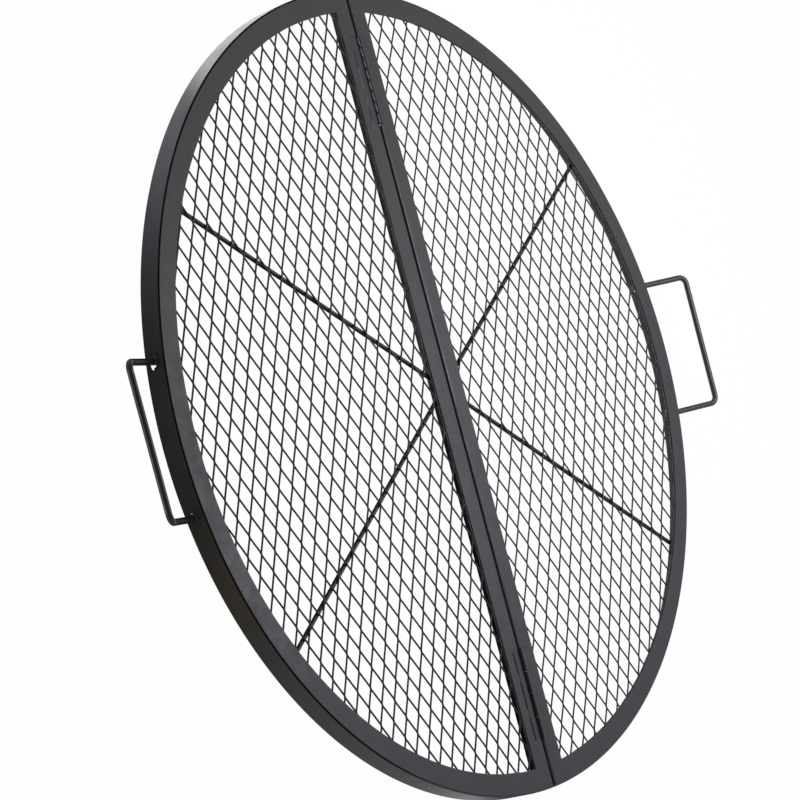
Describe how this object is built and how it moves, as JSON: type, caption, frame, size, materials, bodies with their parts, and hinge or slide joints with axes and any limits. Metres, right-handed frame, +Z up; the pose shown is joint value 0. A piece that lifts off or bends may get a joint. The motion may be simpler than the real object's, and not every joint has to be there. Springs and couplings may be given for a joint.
{
  "type": "folding campfire grill",
  "caption": "Round open-fire cooking grill: expanded steel mesh in a flat rim, hinged along its middle to fold in half, with a bent wire handle on each side.",
  "frame": {"origin": "on the ground under the middle of the fold line, at the centre of the open grill", "axes": "+X across the fold line toward the half that folds over, +Y along the fold line to the rear, +Z up out of the cooking face"},
  "size_m": [1.041, 0.914, 0.044],
  "materials": {
    "frame_coating": "black satin powder coat over flat steel",
    "wall_coating": "black satin powder coat over rolled steel strip",
    "mesh_coating": "thin matt black coat over expanded steel",
    "rod_coating": "thin matt black coat over round steel rod",
    "handle_coating": "black semi-gloss coat over round steel wire",
    "hinge_coating": "black satin coat over pressed steel"
  },
  "bodies": {
    "left_half": {"left_top_frame": "frame_coating", "left_rim_wall": "wall_coating", "left_center_wall": "wall_coating", "left_mesh": "mesh_coating", "left_rear_rod": "rod_coating", "left_front_rod": "rod_coating", "left_handle": "handle_coating", "rear_hinge_left_leaf": "hinge_coating", "rear_hinge_pin": "hinge_coating", "front_hinge_left_leaf": "hinge_coating", "front_hinge_pin": "hinge_coating"},
    "right_half": {"right_top_frame": "frame_coating", "right_rim_wall": "wall_coating", "right_center_wall": "wall_coating", "right_mesh": "mesh_coating", "right_rear_rod": "rod_coating", "right_front_rod": "rod_coating", "right_handle": "handle_coating", "rear_hinge_right_leaf": "hinge_coating", "front_hinge_right_leaf": "hinge_coating"}
  },
  "joints": [
    {"name": "fold", "type": "hinge", "parent": "left_half", "child": "right_half", "pos_m": [0, 0, 0.0252], "axis": [0, -1, 0], "range_deg": [0, 175.8]}
  ]
}
